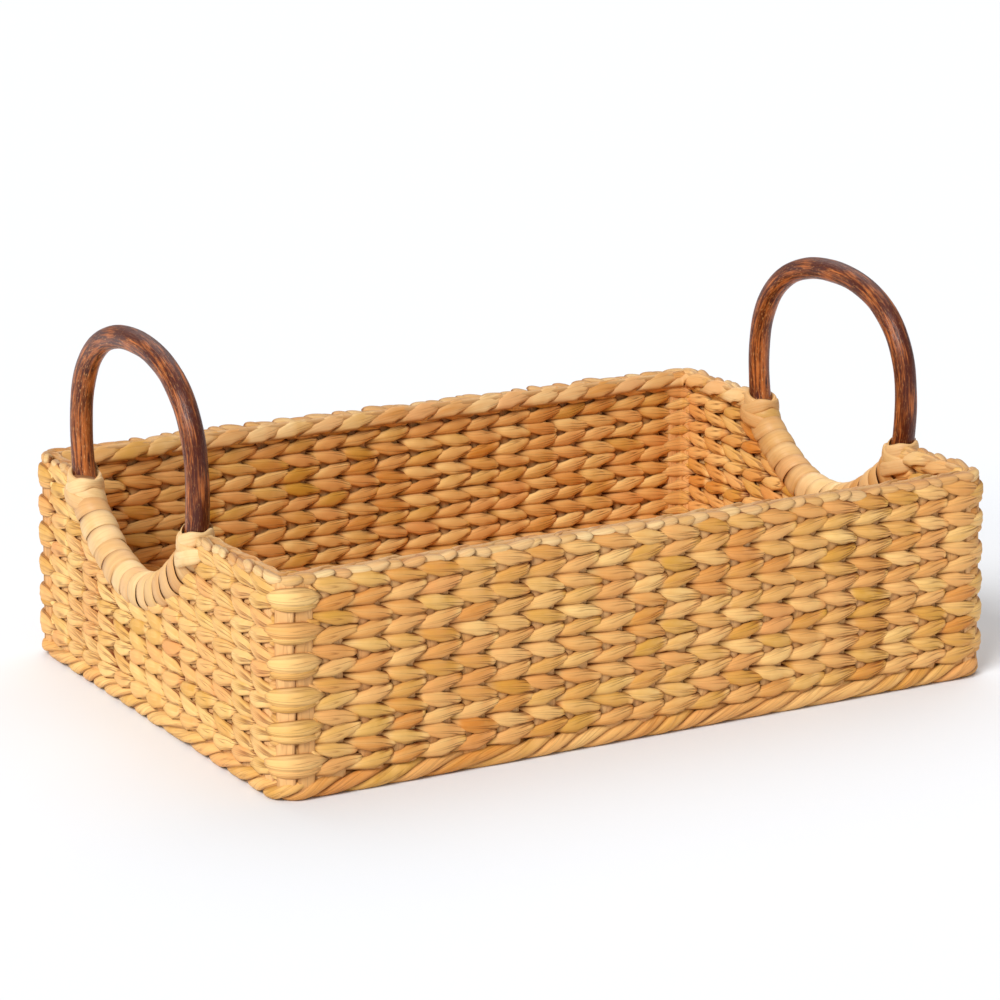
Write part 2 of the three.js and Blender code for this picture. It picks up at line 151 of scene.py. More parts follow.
def wall_point(arc, depth, height):
    """Point of the wall: arc along its middle line, depth outwards from it, height above the floor.

    p = c(arc) + (r + depth - lean * height / top) * n(arc)
    """
    arc = np.mod(arc, ROUND)
    angle = np.interp(arc, KNOT_ARCS, KNOT_ANGLES)
    radius = MID_R + depth - RIM_LEAN * height / RIM_TOP
    x = np.interp(arc, KNOT_ARCS, KNOT_X) + radius * np.cos(angle)
    y = np.interp(arc, KNOT_ARCS, KNOT_Y) + radius * np.sin(angle)
    return np.stack([x, y, height + 0 * x], axis=-1)


CORNER_SHIFT = 6.0
STAKE_JITTER = 1.1
CORNER_ARCS = [0, (KNOT_ARCS[2] + KNOT_ARCS[3]) / 2, (KNOT_ARCS[4] + KNOT_ARCS[5]) / 2]
CORNER_ARCS += [(KNOT_ARCS[6] + KNOT_ARCS[7]) / 2, ROUND]
COUNTS = [LONG_STAKES, SHORT_STAKES] * 2
STAKES = sum(COUNTS) + 4
CORNERS = np.cumsum([0] + [n + 1 for n in COUNTS])[:4]
stake_rng = np.random.default_rng(12)
stake_arcs = np.interp(np.arange(STAKES + 1), list(CORNERS) + [STAKES], CORNER_ARCS)
stake_arcs += CORNER_SHIFT
stake_arcs[1:-1] += stake_rng.uniform(-STAKE_JITTER, STAKE_JITTER, STAKES - 1)


def arc_of(s):
    """Distance along the wall for a place given in stakes, of which there are STAKES in a round."""
    turns = np.floor(s / STAKES)
    return np.interp(s - turns * STAKES, np.arange(STAKES + 1), stake_arcs) + turns * ROUND


def stake_of(arc):
    """The opposite of arc_of."""
    turns = np.floor((arc - stake_arcs[0]) / ROUND)
    return np.interp(arc - turns * ROUND, stake_arcs, np.arange(STAKES + 1)) + turns * STAKES


print(f"round of {ROUND:.0f} mm with {STAKES} stakes")

# %% [markdown]
# ## The hoops' line
#
# Each hoop is one bent cane. Its visible part is nearly a circle, and its lower part follows the
# dip in the wall, where the ribbon binds it in. Thirteen points of one half are enough, mirrored,
# with a smooth curve through them.

# %% Hoop line
hoop_boxes = {side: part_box(f"hoop_{side}") for side in ("left", "right")}
HOOP_MIDDLES = {side: (low.y + high.y) / 2 / MM for side, (low, high) in hoop_boxes.items()}
HOOP_X = (hoop_boxes["right"][0].x + hoop_boxes["right"][1].x) / 2 / MM
CANE_R = 6.25
PER_SPAN = 24
HOOP_HALF = [
    (0, 70.3), (17.5, 72.6), (34.9, 79.5), (50.4, 89.6), (63.3, 100.7), (70.4, 112.5),
    (72.9, 126.8), (73.2, 143.4), (70, 161.9), (60.9, 178.5), (45.4, 191.4), (23.8, 199.3),
    (0, 201.6),
]


def smooth_loop(points):
    """Closed centripetal Catmull-Rom curve through points, with PER_SPAN samples a span."""
    p = np.array(points, float)
    a, b, c, d = p, np.roll(p, -1, 0), np.roll(p, -2, 0), np.roll(p, -3, 0)
    gap = np.sqrt(np.linalg.norm(b - a, axis=1))
    t1 = gap
    t2 = t1 + np.roll(gap, -1)
    t3 = t2 + np.roll(gap, -2)
    t1, t2, t3 = (v[:, None, None] for v in (t1, t2, t3))
    a, b, c, d = (v[:, None, :] for v in (a, b, c, d))
    t = t1 + (t2 - t1) * np.linspace(0, 1, PER_SPAN, endpoint=False)[None, :, None]
    ab = (t1 - t) / t1 * a + t / t1 * b
    bc = (t2 - t) / (t2 - t1) * b + (t - t1) / (t2 - t1) * c
    cd = (t3 - t) / (t3 - t2) * c + (t - t2) / (t3 - t2) * d
    abc = (t2 - t) / t2 * ab + t / t2 * bc
    bcd = (t3 - t) / (t3 - t1) * bc + (t - t1) / (t3 - t1) * cd
    curve = (t2 - t) / (t2 - t1) * abc + (t - t1) / (t2 - t1) * bcd
    return np.roll(curve.reshape(-1, p.shape[1]), PER_SPAN, 0)


hoop_line = smooth_loop(HOOP_HALF + [(-y, z) for y, z in HOOP_HALF[-2:0:-1]])
hoop_steps = np.linalg.norm(np.diff(hoop_line, axis=0, append=hoop_line[:1]), axis=1)
hoop_arcs = np.append(0, np.cumsum(hoop_steps))
HOOP_ROUND = hoop_arcs[-1]


def hoop_at(arc):
    """(y, z) of the hoop's middle line at a distance from its lowest point, towards +y."""
    arc = np.mod(arc, HOOP_ROUND)
    looped = np.vstack([hoop_line, hoop_line[:1]])
    return np.interp(arc, hoop_arcs, looped[:, 0]), np.interp(arc, hoop_arcs, looped[:, 1])


def dip_reach(z):
    """How far the hoop's line is from the middle of the dip at a height z, 0 below the dip."""
    lower = hoop_line[: 6 * PER_SPAN]
    return np.interp(z, lower[:, 1], lower[:, 0], left=0)


print(f"hoop line {HOOP_ROUND:.0f} mm round")

# %% [markdown]
# ## Writing meshes
#
# Every piece is made of grids of points: rings of a cross-section, one after the other. A grid
# is closed round the section, and along its length it is either closed too or has a fan of faces
# at each end. Attributes carry what the materials need: tone and hue of each stalk, how much
# painted shade a point gets, most deep in the creases and at the edges of a stalk, and how
# strongly the stalk is folded there. The UV map runs along and across the stalk in millimetres, so
# that fibres always follow it.

# %% Mesh writer
# Besides tone, hue and fold, each point carries an amount of painted shade, by which its colour is
# darkened towards SHADE.
ATTRIBUTES = ("tone", "hue", "painted_shade", "fold")


def grid_quads(n, m, closed):
    """Quads of n rings of m points: vertex numbers, and each corner's ring and place in it."""
    i, j = np.meshgrid(np.arange(n if closed else n - 1), np.arange(m), indexing="ij")
    i, j = i.ravel(), j.ravel()
    ring = np.stack([i, i, i + 1, i + 1], 1)
    place = np.stack([j, j + 1, j + 1, j], 1)
    return (ring % n) * m + place % m, ring, place


def signed_volume(points, quads):
    """Six times the volume inside the quads, negative if they face inwards."""
    a, b, c, d = (points[quads[:, k]] for k in range(4))
    return np.sum(a * np.cross(b, c)) + np.sum(a * np.cross(c, d))


def piece(name, grids, material, nodes):
    """One object made of grids.

    Each is a dict: points (n, m, 3) in mm, closed, along (n), across and the attributes.
    """
    points, loops, totals, uvs = [], [], [], []
    values = {a: [] for a in ATTRIBUTES}
    base = 0
    for g in grids:
        n, m = g["points"].shape[:2]
        flat = g["points"].reshape(-1, 3)
        quads, ring, place = grid_quads(n, m, g["closed"])
        along = np.append(g["along"], 2 * g["along"][-1] - g["along"][-2])
        uv = np.stack([along[ring], place * g["across"] / m], -1)
        turned = signed_volume(flat - flat.mean(0), quads) < 0
        if turned:
            quads, uv = quads[:, ::-1], uv[:, ::-1]
        points.append(flat)
        loops.append(quads.ravel() + base)
        totals.append(np.full(len(quads), 4))
        uvs.append(uv.reshape(-1, 2))
        if not g["closed"]:
            for first, forward in ((0, turned), ((n - 1) * m, not turned)):
                cap = first + np.arange(m)
                loops.append((cap if forward else cap[::-1]) + base)
                totals.append([m])
                uvs.append(np.zeros((m, 2)) + [along[first // m], 0])
        for a in ATTRIBUTES:
            values[a].append(np.broadcast_to(g.get(a, 0.0), (n, m)).ravel())
        base += n * m
    points, loops, totals = (np.concatenate(v) for v in (points, loops, totals))
    mesh = bpy.data.meshes.new(name)
    mesh.vertices.add(len(points))
    mesh.vertices.foreach_set("co", (points * MM).astype(np.float32).ravel())
    mesh.loops.add(len(loops))
    mesh.loops.foreach_set("vertex_index", loops.astype(np.int32))
    mesh.polygons.add(len(totals))
    mesh.polygons.foreach_set("loop_start", (np.cumsum(totals) - totals).astype(np.int32))
    mesh.polygons.foreach_set("use_smooth", np.ones(len(totals), bool))
    uvs = np.concatenate(uvs).astype(np.float32)
    mesh.uv_layers.new(name="grain").data.foreach_set("uv", uvs.ravel())
    for a in ATTRIBUTES:
        store = mesh.attributes.new(a, "FLOAT", "POINT")
        store.data.foreach_set("value", np.concatenate(values[a]).astype(np.float32))
    mesh.update(calc_edges=True)
    mesh.materials.append(material)
    made = add_object(name, mesh)
    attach(made, "root")
    if nodes:
        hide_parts(*nodes)


def smoothstep(x):
    """0 below 0, 1 above 1, and 3 x x - 2 x x x between."""
    x = np.clip(x, 0, 1)
    return x * x * (3 - 2 * x)


def unit(v):
    """Vectors made 1 long."""
    return v / np.linalg.norm(v, axis=-1, keepdims=True)


def blended(values, index, share):
    """Values at whole places index, sliding over to the next ones by share."""
    return values[index % len(values)] * (1 - share) + values[(index + 1) % len(values)] * share


print("attributes:", ", ".join(ATTRIBUTES))

# %% [markdown]
# ## Materials
#
# Dried water hyacinth is pale straw with a satin skin. Its colour wanders from stalk to stalk
# between cream, golden olive, pinkish tan and orange brown. Shade is painted into it as well:
# every crease and the edges of each stalk are painted a warm brown. Fine fibres run along it,
# and where a weaver turns into the wall the flattened stalk folds into a few sharp pleats, drawn
# as thin dark lines that are partly cracks and partly painted shade in the folds.
#
# A small class lets shader maths be written as ordinary sums.

# %% Shader maths
class Wire:
    """An output of a material's node. + - * with another wire or a number add a maths node."""

    def __init__(self, tree, socket):
        self.tree = tree
        self.socket = socket

    def node(self, kind, output=0, inputs=(), **settings):
        """A node: settings are its properties, inputs pairs of a socket and a wire or value."""
        made = self.tree.nodes.new(kind)
        for key, value in settings.items():
            setattr(made, key, value)
        for key, value in inputs:
            if isinstance(value, Wire):
                self.tree.links.new(value.socket, made.inputs[key])
            else:
                made.inputs[key].default_value = value
        return Wire(self.tree, made.outputs[output])

    def maths(self, operation, first, second=0.0, clamp=False):
        inputs = [(0, first), (1, second)]
        return self.node("ShaderNodeMath", 0, inputs, operation=operation, use_clamp=clamp)

    def __add__(self, other):
        return self.maths("ADD", self, other)

    def __sub__(self, other):
        return self.maths("SUBTRACT", self, other)

    def __rsub__(self, other):
        return self.maths("SUBTRACT", other, self)

    def __mul__(self, other):
        return self.maths("MULTIPLY", self, other)

    def power(self, other):
        return self.maths("POWER", self, other)

    def clamp(self):
        return self.maths("ADD", self, 0.0, clamp=True)

    def size(self):
        return self.maths("ABSOLUTE", self)

    def mix(self, low, high):
        """low where this wire is 0 and high where it is 1, both colours."""
        inputs = [(0, self.clamp()), (6, low), (7, high)]
        return self.node("ShaderNodeMix", 2, inputs, data_type="RGBA")


def colour(red, green, blue):
    """A colour from screen values of 0 to 255, as the linear values that sockets take."""
    v = np.array([red, green, blue]) / 255
    linear = np.where(v <= 0.04045, v / 12.92, ((v + 0.055) / 1.055) ** 2.4)
    return (*linear.tolist(), 1.0)


def new_material(name, roughness):
    """A material with its shader, and a wire to start from."""
    material = bpy.data.materials.new(name)
    material.use_nodes = True
    tree = material.node_tree
    shader = tree.nodes["Principled BSDF"]
    shader.inputs["Roughness"].default_value = roughness
    return material, shader, Wire(tree, None)


def attribute(start, name):
    return start.node("ShaderNodeAttribute", "Fac", attribute_name=name)


def grain(start, along, across, seed, detail=3.0):
    """Noise drawn out along the stalk: along and across are its cycles a millimetre."""
    place = start.node("ShaderNodeUVMap", "UV", uv_map="grain")
    for operation, by in (("MULTIPLY", (along, across, 1.0)), ("ADD", (seed, seed, seed))):
        inputs = [(0, place), (1, by)]
        place = start.node("ShaderNodeVectorMath", 0, inputs, operation=operation)
    inputs = [("Vector", place), ("Scale", 1.0), ("Detail", detail)]
    return start.node("ShaderNodeTexNoise", "Fac", inputs)


def finish_material(start, shader, base_colour, height, strength, distance):
    """Lead a colour into the shader, and a height with a bump of its own."""
    inputs = [("Height", height), ("Strength", strength), ("Distance", distance)]
    start.tree.links.new(base_colour.socket, shader.inputs["Base Color"])
    bump = start.node("ShaderNodeBump", 0, inputs)
    start.tree.links.new(bump.socket, shader.inputs["Normal"])


def stalk_material(name, colours, folds, roughness):
    """Dried stalk: pale to deep by tone, towards olive or pink by hue, painted shade in the
    creases.
    """
    pale, deep, olive, pink, shade = (colour(*c) for c in colours + (SHADE,))
    material, shader, start = new_material(name, roughness)
    shader.inputs["Specular IOR Level"].default_value = 0.3
    tone, hue = attribute(start, "tone"), attribute(start, "hue")
    painted_shade, fold = attribute(start, "painted_shade"), attribute(start, "fold")
    fibres = grain(start, 0.035, 1.9, 3.0)
    bands = grain(start, 0.03, 0.35, 9.0)
    patches = (grain(start, 0.09, 0.12, 17.0, 2.0) - 0.5) * 1.2
    pleat_noise = grain(start, 0.018, 0.34, 29.0, 1.0)
    straw = (tone + (fibres - 0.5) * 0.45 + (bands - 0.5) * 0.75).mix(pale, deep)
    straw = ((hue - 0.5) * 2.0 + patches).mix(straw, olive)
    straw = ((0.5 - hue) * 2.0 + patches).mix(straw, pink)
    pleat = (1.0 - (pleat_noise - 0.5).size() * 28.0).clamp() * fold * folds
    # Painted shade: the colour goes towards SHADE by each point's painted shade amount, and along
    # thin dark pleat lines, which are partly cracks and partly painted shade in the folds.
    dark = (painted_shade.power(1.1) + pleat * 0.65).clamp()
    height = fibres * 0.16 + bands * 0.35 - pleat * 0.8
    finish_material(start, shader, dark.mix(straw, shade), height, 0.55, 0.0006)
    return material


def cane_material():
    """Stained cane: dark reddish brown, worn to orange brown with pale flecks inside the bend."""
    material, shader, start = new_material("stained cane", 0.33)
    shader.inputs["Specular IOR Level"].default_value = 0.36
    outside = attribute(start, "tone")
    streaks = grain(start, 0.05, 0.75, 5.0, 4.0)
    fine = grain(start, 0.10, 3.4, 7.0, 3.0)
    blotches = grain(start, 0.05, 0.10, 11.0, 3.0)
    specks = grain(start, 0.32, 1.9, 23.0, 2.0)
    bright = (streaks - 0.5) * 3.6 + (blotches - 0.5) * 2.6 + (fine - 0.5) * 2.2
    bright = (bright + 0.56 - outside * 0.7).clamp()
    stain = bright.mix(colour(78, 26, 6), colour(190, 106, 46))
    stain = ((specks - 0.58) * 7.0 * (1.0 - outside * 0.7)).mix(stain, colour(216, 158, 98))
    dark = ((0.46 - fine) * 6.0 + (0.44 - streaks) * 3.2).clamp()
    stain = (dark * 0.65).mix(stain, colour(48, 14, 2))
    finish_material(start, shader, stain, streaks * 0.7 + fine * 0.5, 0.6, 0.0008)
    return material


# Pale, deep, olive and pink of each kind, as screen values.
WEAVER_COLOURS = ((248, 204, 130), (210, 132, 50), (208, 152, 54), (228, 160, 92))
RIBBON_COLOURS = ((238, 202, 146), (204, 146, 80), (206, 158, 82), (220, 166, 110))
STAKE_COLOURS = ((252, 206, 140), (228, 162, 92), (222, 166, 88), (238, 176, 116))
RIM_COLOURS = ((246, 216, 158), (210, 146, 76), (208, 156, 74), (224, 166, 108))
# SHADE is the colour of painted shade, in creases, at stalk edges and on stakes set back in the
# wall.
SHADE = (110, 46, 0)
weaver_straw = stalk_material("weaver straw", WEAVER_COLOURS, 1.0, 0.55)
ribbon_straw = stalk_material("ribbon straw", RIBBON_COLOURS, 0.5, 0.48)
stake_straw = stalk_material("stake straw", STAKE_COLOURS, 0.7, 0.55)
rim_straw = stalk_material("rim straw", RIM_COLOURS, 0.5, 0.5)
cane = cane_material()
wire_metal, wire_shader, _ = new_material("frame wire", 0.5)
wire_shader.inputs["Base Color"].default_value = colour(120, 96, 70)
wire_shader.inputs["Metallic"].default_value = 0.6
print("materials:", len(bpy.data.materials))

# %% [markdown]
# ## How a weaver lies
#
# A pair of weavers changes places in each gap between two stakes. In front of a stake the weaver
# is spread out tall and lies against it. Into the gap on its right it dives steeply at full
# width, which gives each leaf its blunt right end, and out of the gap on its left it comes
# pressed thin under its partner, which gives the long thin tip. Seen from inside the basket the
# same thing happens mirrored, so one cycle of two stakes is even about the middle of both gaps.
#
# The cycle is given by three curves over the phase, where 0 is the thin gap and 1 the steep one:
# the outer face's depth, and the upper and lower edge as shares of half a course.

# %% Weaver curves
STEPS = 16
SIDES = 22
REACH = 5.9
SKEW = 0.35
SQUARENESS = 2.45
THINNEST = 0.9
PLEAT_DEPTH = 0.2
STAKE_STEP = 20.0
STALK_ROUND = 26.0
STRETCH = 1.14


def outer_face(x):
    """Depth of a weaver's outer face, 1 at its proudest: falls steeply from 1.08 to 1.40."""
    x = np.mod(x + 0.5, 2) - 0.5
    rise = np.sin(np.pi / 2 * np.clip((x + 0.53) / 0.93, 0, 1)) ** 0.9
    fall = smoothstep((x - 1.08) / 0.32)
    swell = 1 - 0.12 * smoothstep((x - 0.55) / 0.55) - 0.05 * smoothstep((0.35 - x) / 0.35)
    return -0.2 + 1.2 * rise * (1 - fall) * swell


def upper_edge(x):
    """Upper edge of a falling leaf: level from its tip, then down to the blunt end at 1.22."""
    x = np.mod(x + 0.5, 2) - 0.5
    drop = 1.18 * np.clip((x - 0.45) / 0.775, 0, 1.12) ** 1.8
    return 1.05 - drop * (1 - smoothstep((x - 1.32) / 0.18))


def lower_edge(x):
    """Lower edge of a falling leaf: from under the tip at -0.23 down to the foot of the course."""
    x = np.mod(x + 0.5, 2) - 0.5
    share = np.clip((x + 0.22) / 1.22, 0, 1)
    edge = 0.60 - 1.70 * (1 - (1 - share) ** 3.3) + 2.0 * np.clip(-0.22 - x, 0, 0.16)
    edge = edge + 0.5 * np.clip((x - 0.95) / 0.4, 0, 1) ** 2
    return edge + (-0.8 - edge) * (smoothstep((x - 1.32) / 0.18) + 1 - smoothstep((x + 0.5) / 0.2))


def at_stakes(values, s):
    """Per-stake values at places s: steady over each leaf, changing inside the gaps."""
    low = np.floor(s).astype(int)
    return blended(values, low, smoothstep((s - low - 0.35) / 0.3))


def rounded(sides, power):
    """Places across and up of points round a superellipse, squarer than a circle above power 2."""
    angle = np.arange(sides) * 2 * np.pi / sides
    c, s = np.cos(angle), np.sin(angle)
    return np.sign(c) * np.abs(c) ** (2 / power), np.sign(s) * np.abs(s) ** (2 / power)


def weaver(
    place, start, stop, closed, parity, lean, half, reach, leaves, steps=STEPS, sides=SIDES
):
    """One of a course's two weavers, as a grid.

    place(s, depth, up) gives a point; start and stop are in stakes; parity 0 or 1 says which
    stakes it passes in front of; lean 1 falls to the right and -1 rises; half is half the course
    height. leaves holds an array of per-stake values for each of: stretch, shift, slide, bulge,
    tone, hue and sink, by which the outer face draws in behind the strips at a corner, and the
    inner face by half as much.
    """
    count = int(round((stop - start) * steps))
    t = start - parity + 0.5 + np.arange(count if closed else count + 1) / steps
    q = t + SKEW * np.sin(np.pi * t) / np.pi
    s = q + parity - 0.5
    fold = 1 - np.abs(np.mod(q, 2) - 1)
    here = {key: at_stakes(v, s) for key, v in leaves.items()}
    nearest = np.rint(s).astype(int)
    sink = leaves["sink"][nearest % len(leaves["sink"])]
    sink = sink * (1 - smoothstep((np.abs(s - nearest) - 0.2) / 0.22))
    across, up = rounded(sides, SQUARENESS)
    outside = smoothstep((across + 1) / 2)[None, :]
    edges = []
    for edge in (upper_edge, lower_edge):
        outer, inner = lean * edge(q), lean * edge(2 - q)
        edges.append(inner[:, None] + (outer - inner)[:, None] * outside)
    top, bottom = np.maximum(*edges), np.minimum(*edges)
    middle = (top + bottom) / 2
    tall = (top - bottom) / 2 * here["stretch"][:, None]
    front = reach * outer_face(q) * here["bulge"] - sink
    rear = -reach * outer_face(2 - q) * here["bulge"] + 0.5 * sink
    thick = np.maximum((front - rear) / 2, THINNEST)
    pleats = np.sin(2 * np.pi * (up[None, :] * 1.35 + here["shift"][:, None] * 7))
    folded = 0.3 + 0.7 * smoothstep((fold - 0.35) / 0.5)[:, None]
    pleats = pleats * PLEAT_DEPTH * folded * np.abs(across[None, :]) ** 0.5
    depth = ((front + rear) / 2)[:, None] + thick[:, None] * across[None, :]
    depth = depth + pleats * np.sign(across)[None, :]
    height = half * (middle + here["shift"][:, None]) + half * tall * up[None, :]
    points = place((s + here["slide"])[:, None] + 0 * depth, depth, height)
    # Painted shade: points that lie deep in the wall, and the upper and lower edges of each stalk,
    # are painted darker.
    buried = 1 - np.abs(depth) / reach
    edge = np.abs(up[None, :]) ** 5 * 0.85
    return {
        "points": points,
        "closed": closed,
        "along": t * STAKE_STEP,
        "across": STALK_ROUND,
        "tone": here["tone"][:, None],
        "hue": here["hue"][:, None],
        "painted_shade": np.clip(smoothstep((buried - 0.12) / 0.85) + edge, 0, 1),
        "fold": folded,
    }


def leaf_values(count, seed, spread=1.0):
    """Random per-stake values for both weavers of one course, so that no two leaves are alike."""
    draw = np.random.default_rng(seed)
    values = []
    for _ in range(2):
        leaves = {
            "tone": draw.beta(2.2, 2.6, count),
            "stretch": STRETCH + spread * draw.uniform(-0.08, 0.08, count),
            "shift": spread * draw.uniform(-0.10, 0.10, count),
            "slide": spread * draw.uniform(-0.08, 0.08, count),
            "bulge": draw.uniform(0.93, 1.05, count),
            "hue": np.clip(draw.normal(0.5, 0.17, count), 0, 1),
            "sink": np.zeros(count),
        }
        values.append(leaves)
    return values


print(f"weavers of {STEPS} rings a stake and {SIDES} sides")

# %% [markdown]
# ## The twelve courses
#
# Counted from the bottom, even courses fall to the right and odd ones rise, so each even course
# meets the one below it in the point of a chevron. At a corner both pass behind the upright
# strips there, and one fat level leaf goes round in front. The upper six stop at the dips, under
# the bound hoop. The left end is painted paler than the rest, as painted light where the lamp on
# that side falls, and its leaves are broader and flatter.

# %% Courses
# Waves a round and height of each wave in a course's edge.
EDGE_WAVES = ((3, 0.22), (7, 0.2), (13, 0.16), (22, 0.12))
course_lines = []
line_draw = np.random.default_rng(5)
for k in range(COURSES + 1):
    places = np.arange(STAKES)
    wave = sum(
        a * np.sin(2 * np.pi * n * places / STAKES + line_draw.uniform(0, 2 * np.pi))
        for n, a in EDGE_WAVES
    )
    course_lines.append(COURSE_Z + k * COURSE_PITCH + wave * (0 < k < COURSES))


def course_middle(k, s):
    """Height of a course's middle line."""
    line = (course_lines[k] + course_lines[k + 1]) / 2
    return np.interp(np.mod(s, STAKES), np.arange(STAKES + 1), np.append(line, line[0]))


CORNER_SINK = 3.8
# Painted light: how much paler the left end is painted, as if more brightly lit.
LEFT_PAINTED_LIGHT = 0.55
LEFT_BROADER = 0.13
LEFT_FLATTER = 0.06
LEAF_SHAPES = [
    {"side": 1, "reach": 0.80, "tall": 5.1, "lift": 0.8 - HALF_COURSE, "proud": 2.4},
    {"side": 1, "reach": 0.68, "tall": 3.3, "lift": -3.5 - HALF_COURSE, "proud": 1.9},
    {"side": -1, "reach": 0.80, "tall": 4.9, "lift": -HALF_COURSE, "proud": 2.2},
    {"side": -1, "reach": 0.66, "tall": 3.4, "lift": HALF_COURSE, "proud": 2.2},
]


def pillow(place, line, taper, tall, thick, draw, sides=20):
    """A leaf with closed ends, as a grid: line holds its places along the wall, depths and heights.

    taper gives the share of its height at each of these; tall and thick are half its height and
    half its thickness where it is fattest.
    """
    along, depth, lift = line
    across, up = rounded(sides, 2.3)
    pleats = 0.16 * np.sin(up * 7.0 + draw.uniform(0, 6)) * np.abs(across) ** 0.5
    thick = thick * (0.3 + 0.7 * taper)
    out = depth[:, None] + thick[:, None] * across[None, :] + pleats[None, :]
    height = lift[:, None] + (tall * taper)[:, None] * up[None, :]
    # Painted shade: the thin ends of the leaf and its upper and lower edges are painted darker.
    ends = smoothstep((0.75 - taper) / 0.6)[:, None]
    return {
        "points": place(along[:, None] + 0 * out, out, height),
        "closed": False,
        "across": STALK_ROUND,
        "hue": draw.uniform(0.35, 0.65),
        "painted_shade": np.clip(0.7 * np.abs(up[None, :]) ** 5 + 0.6 * ends, 0, 1),
        "fold": 0.55,
    }


def corner_leaf(place, c, draw, form):
    """A level leaf round a corner, more pointed to its right; side is 1 outside and -1 inside."""
    u = np.linspace(-0.99, 0.99, 45)
    taper = np.where(u < 0, (1 - np.abs(u) ** 2.3) ** 0.75, (1 - np.abs(u) ** 1.9) ** 0.95)
    s = c + form["side"] * (0.03 + form["reach"] * draw.uniform(0.92, 1.06) * u)
    lift = form["lift"] + draw.uniform(-0.5, 0.5) + draw.uniform(-0.9, 0.9) * u - 0.8 * u * u
    line = (s, form["side"] * (2.3 + form["proud"] * np.sqrt(1 - u * u)), lift)
    grid = pillow(place, line, taper, form["tall"] * draw.uniform(0.88, 1.14), 2.0, draw)
    # Partly painted light: the tone is random, but drawn from the paler half, as the corners stand
    # in the light.
    look = {"tone": draw.uniform(0.0, 0.55), "hue": draw.uniform(0.25, 0.75)}
    return {**grid, "along": s * STAKE_STEP, **look}


DIP_TUCK = 4.5
right_dip = KNOT_ARCS[3] + CENTRE_Y + HOOP_MIDDLES["right"]
left_dip = KNOT_ARCS[7] + CENTRE_Y - HOOP_MIDDLES["left"]


def dip_stakes(z):
    """Places in stakes where height z meets the dips: right front and back, left back and front."""
    reach = dip_reach(z + DIP_TUCK)
    arcs = [right_dip - reach, right_dip + reach, left_dip - reach, left_dip + reach]
    return [float(stake_of(np.array(a))) for a in arcs]


corner_draw = np.random.default_rng(31)
at_left = np.arange(STAKES) >= CORNERS[3]
for k in range(COURSES):
    number = k + 1
    values = leaf_values(STAKES, 100 + k)
    for leaves in values:
        leaves["sink"][CORNERS] = CORNER_SINK
        # Painted light: the left end is painted paler.
        leaves["tone"] = leaves["tone"] * (1 - LEFT_PAINTED_LIGHT * at_left)
        leaves["stretch"] = leaves["stretch"] * (1 + LEFT_BROADER * at_left)
        leaves["bulge"] = leaves["bulge"] * (1 - LEFT_FLATTER * at_left)
    lean = 1 if number % 2 == 0 else -1

    def place(s, depth, up, k=k):
        return wall_point(arc_of(s), depth, course_middle(k, s) + up)

    spans = [("", 0, STAKES, True)]
    if number > 6:
        ends = dip_stakes(COURSE_Z + (k + 0.5) * COURSE_PITCH)
        spans = [("_front", ends[3] - STAKES, ends[0], False)]
        spans += [("_back", ends[1], ends[2], False)]
    for suffix, start, stop, closed in spans:
        grids = [
            weaver(place, start, stop, closed, parity, lean, HALF_COURSE, REACH, values[parity])
            for parity in range(2)
        ]
        if number % 2 == 0:
            turned = [c for c in CORNERS if start < c < stop or closed]
            grids += [corner_leaf(place, c, corner_draw, f) for c in turned for f in LEAF_SHAPES]
        node = f"course_{number:02d}{suffix}"
        piece(f"twined_{node}", grids, weaver_straw, [node])
print("courses:", COURSES)

# %% [markdown]
# ## The stakes
#
# A stake is one flat stalk that stands in the front wall, runs under the basket and comes up again
# in the back wall, or does the same from end to end. The corners have bundles of flat strips of
# their own, on both sides of the wire. Under a dip a stake stops short, where the ribbon binds it.

# %% Stakes
STAKE_WIDE = 7.3
STAKE_THICK = 2.8
STAKE_DEPTH = 0.5
STAKE_TOP = COURSE_TOP - 0.5
EDGE_BELOW = 9.5
CROSS_LEVEL = 4.3
LONG_LEVEL = 5.2
BEND = 7.0
MID_HEIGHT = 60.0


def dip_edge(along, middle):
    """Height of the woven edge at a place along a short wall whose hoop stands at middle."""
    away = np.abs(along - middle)
    lower = hoop_line[: 5 * PER_SPAN]
    line = np.interp(away, lower[:, 0], lower[:, 1], right=np.inf)
    return np.minimum(line - EDGE_BELOW, STAKE_TOP)


def tube(line, wide_way, thick_way, wide, thick, sides, power, values):
    """A stalk along a line (n, 3): wide and thick are half its width and half its thickness.

    values are the grid's other entries, and may close it.
    """
    across, up = rounded(sides, power)
    wide = np.broadcast_to(wide, len(line))[:, None, None] * across[None, :, None]
    thick = np.broadcast_to(thick, len(line))[:, None, None] * up[None, :, None]
    points = line[:, None, :] + wide * wide_way[:, None, :] + thick * thick_way[:, None, :]
    steps = np.linalg.norm(np.diff(line, axis=0), axis=1)
    return {"points": points, "closed": False, "along": np.append(0, np.cumsum(steps)), **values}


def bent_profile(out, level, near_top, far_top):
    """Side view of a stake, as points (across, height).

    It goes down the wall at -out, along the base at a level, and up the wall at out.
    """
    turn = np.linspace(0, np.pi / 2, 9)[1:-1]
    foot = out - RIM_LEAN * level / RIM_TOP
    side, height = foot - BEND * (1 - np.cos(turn)), level + BEND * (1 - np.sin(turn))
    down = np.linspace(near_top, level + BEND, 24)
    rise = np.linspace(level + BEND, far_top, 24)
    flat = np.linspace(-foot + BEND, foot - BEND, 40)
    parts = [
        (-out + RIM_LEAN * down / RIM_TOP, down),
        (-side, height),
        (flat, 0 * flat + level),
        (side[::-1], height[::-1]),
        (out - RIM_LEAN * rise / RIM_TOP, rise),
    ]
    return np.vstack([np.stack(part, 1) for part in parts])


